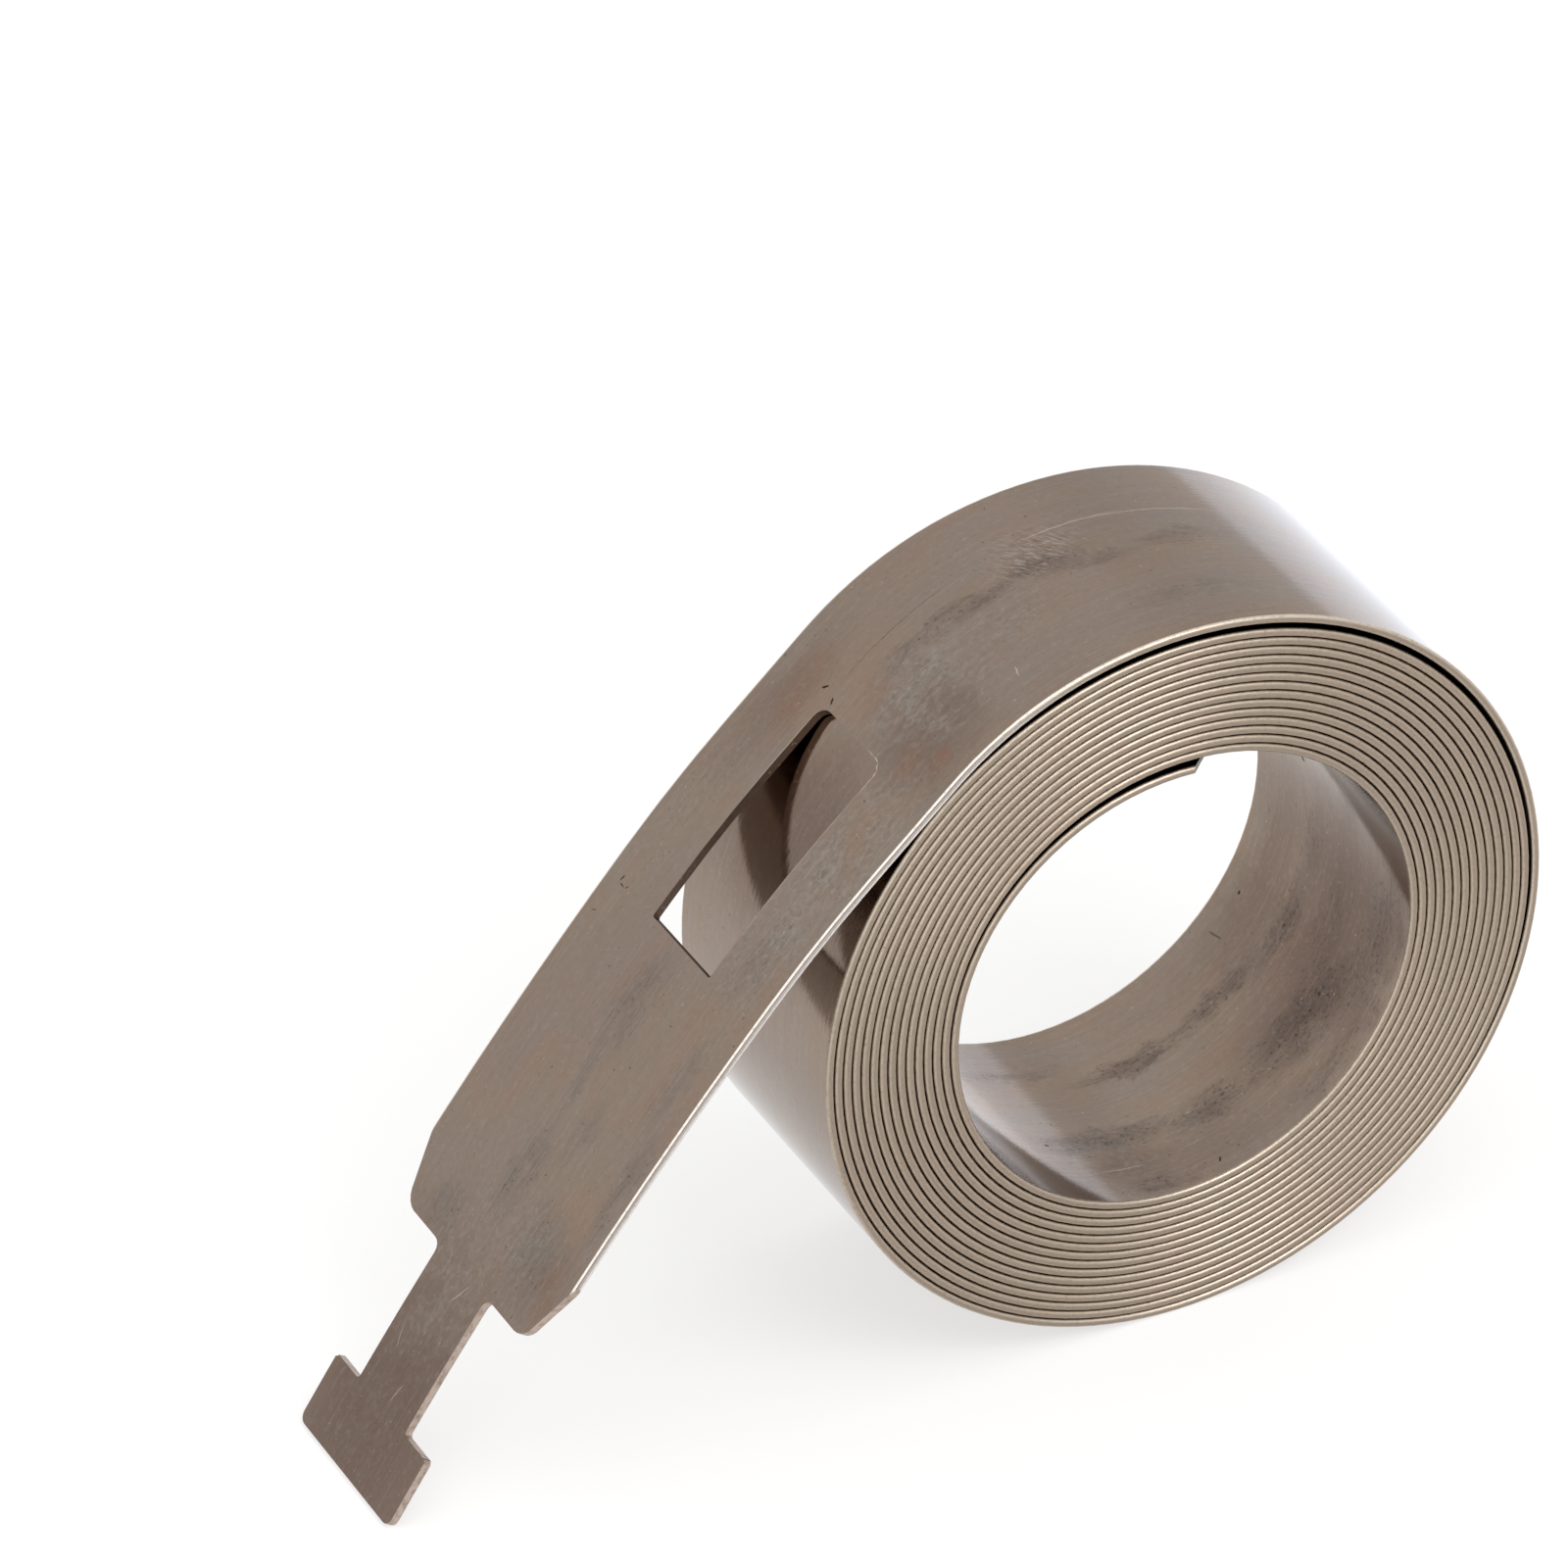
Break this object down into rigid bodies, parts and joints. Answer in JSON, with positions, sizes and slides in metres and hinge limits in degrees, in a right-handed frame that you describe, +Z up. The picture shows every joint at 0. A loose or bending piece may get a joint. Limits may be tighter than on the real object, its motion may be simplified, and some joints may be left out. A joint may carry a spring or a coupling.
{
  "type": "sash balance spring",
  "caption": "Steel strip wound into a tight coil that balances a sliding window sash, with a tail that carries a rectangular window and ends in a T-shaped hook.",
  "frame": {"origin": "on the coil's axis, halfway across the strip's width", "axes": "+Y along the coil's axis, from the front face to the back; +Z up, with the rim and the hook's tip on the ground; the tail runs down towards -X"},
  "size_m": [0.0512, 0.0126, 0.0328],
  "materials": {
    "spring_strip": "satin"
  },
  "bodies": {
    "root": {"balance_spring": "spring_strip"}
  },
  "joints": []
}
